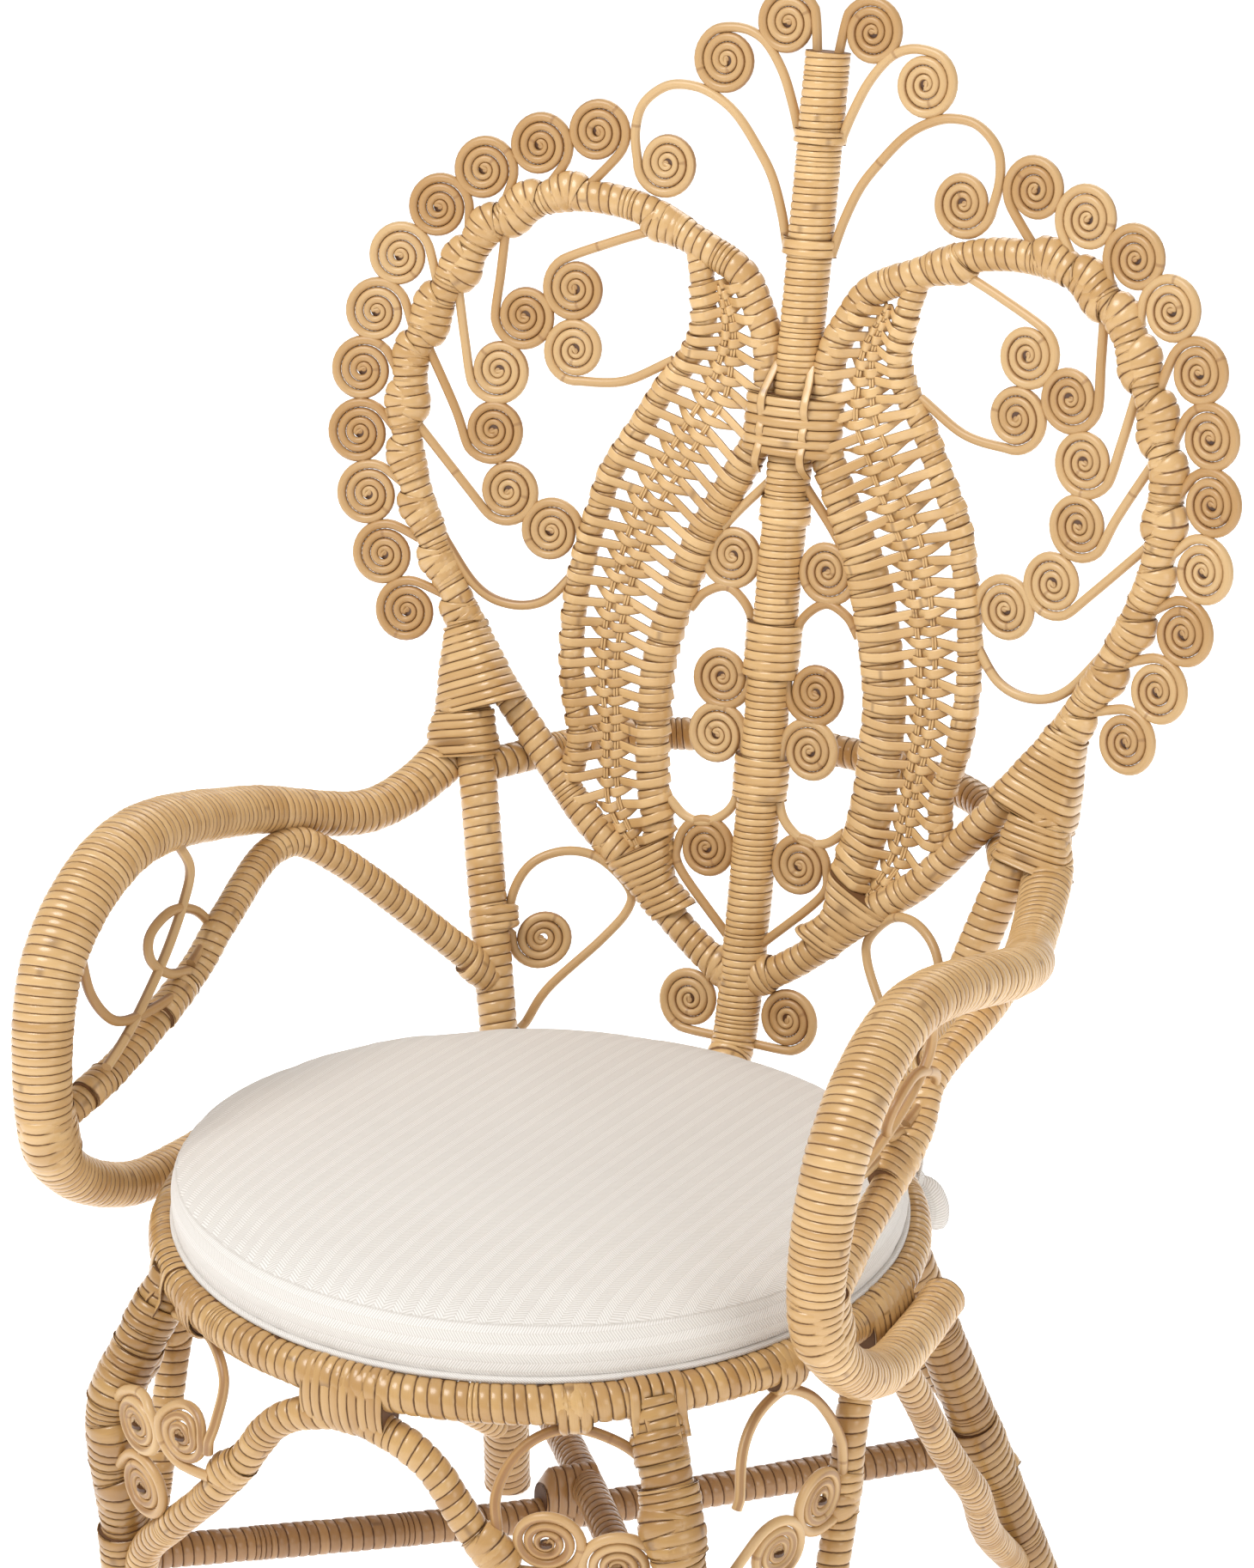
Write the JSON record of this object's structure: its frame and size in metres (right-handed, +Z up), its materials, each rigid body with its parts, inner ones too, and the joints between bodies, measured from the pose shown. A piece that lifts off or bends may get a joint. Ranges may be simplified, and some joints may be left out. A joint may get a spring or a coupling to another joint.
{
  "type": "rattan peacock armchair",
  "caption": "Rattan armchair with a leaning heart-shaped back of woven panels and bent-cane scrollwork, loop arms, splayed legs with crossed stretchers and a loose round seat cushion.",
  "frame": {"origin": "on the floor under the middle of the chair's outline", "axes": "+Z up, the chair faces -Y, and +X is its right as a viewer in front sees it"},
  "size_m": [0.6986, 0.7154, 1.2051],
  "materials": {
    "wrap": "poles wound in glossy rattan peel",
    "dark_wrap": "darker wound poles and rods under the seat",
    "cane": "round golden cane, satin",
    "cotton": "cream herringbone cotton"
  },
  "bodies": {
    "frame": {"seat_ring": "wrap", "centre_post": "wrap", "centre_binding": "wrap", "heart_frame_left": "wrap", "heart_frame_right": "wrap", "panel_outer_rail_left": "wrap", "panel_outer_rail_right": "wrap", "panel_inner_rail_left": "wrap", "panel_inner_rail_right": "wrap", "back_post_left": "wrap", "back_post_right": "wrap", "arm_left": "wrap", "arm_right": "wrap", "rear_hoop": "wrap", "arm_bracket_left": "wrap", "arm_bracket_right": "wrap", "leg_front_left": "wrap", "leg_front_right": "wrap", "leg_back_left": "wrap", "leg_back_right": "wrap", "arch_front": "wrap", "arch_back": "wrap", "arch_left": "wrap", "arch_right": "wrap", "stretcher_lower": "dark_wrap", "stretcher_upper": "dark_wrap", "outer_scrolls_left": "cane", "outer_scrolls_right": "cane", "inner_scrolls_left": "cane", "inner_scrolls_right": "cane", "lobe_cane_left": "cane", "lobe_cane_right": "cane", "crest_scroll_low_left": "cane", "crest_scroll_low_right": "cane", "crest_scroll_mid_left": "cane", "crest_scroll_mid_right": "cane", "crest_scroll_top_left": "cane", "crest_scroll_top_right": "cane", "centre_scrolls_left": "cane", "centre_scrolls_right": "cane", "foot_scroll_left": "cane", "foot_scroll_right": "cane", "side_scroll_left": "cane", "side_scroll_right": "cane", "arm_scroll_left": "cane", "arm_scroll_right": "cane", "apron_scrolls_front_left": "cane", "apron_scrolls_front_right": "cane", "apron_scrolls_side_left": "cane", "apron_scrolls_side_right": "cane", "panel_weave_left": "cane", "panel_weave_right": "cane", "seat_deck": "dark_wrap", "cushion_tie_left": "cotton", "cushion_tie_right": "cotton"},
    "cushion": {"cushion": "cotton"}
  },
  "joints": [
    {"name": "cushion_lift", "type": "slide", "parent": "frame", "child": "cushion", "axis": [0, 0, 1], "range_m": [0, 0.06]}
  ]
}
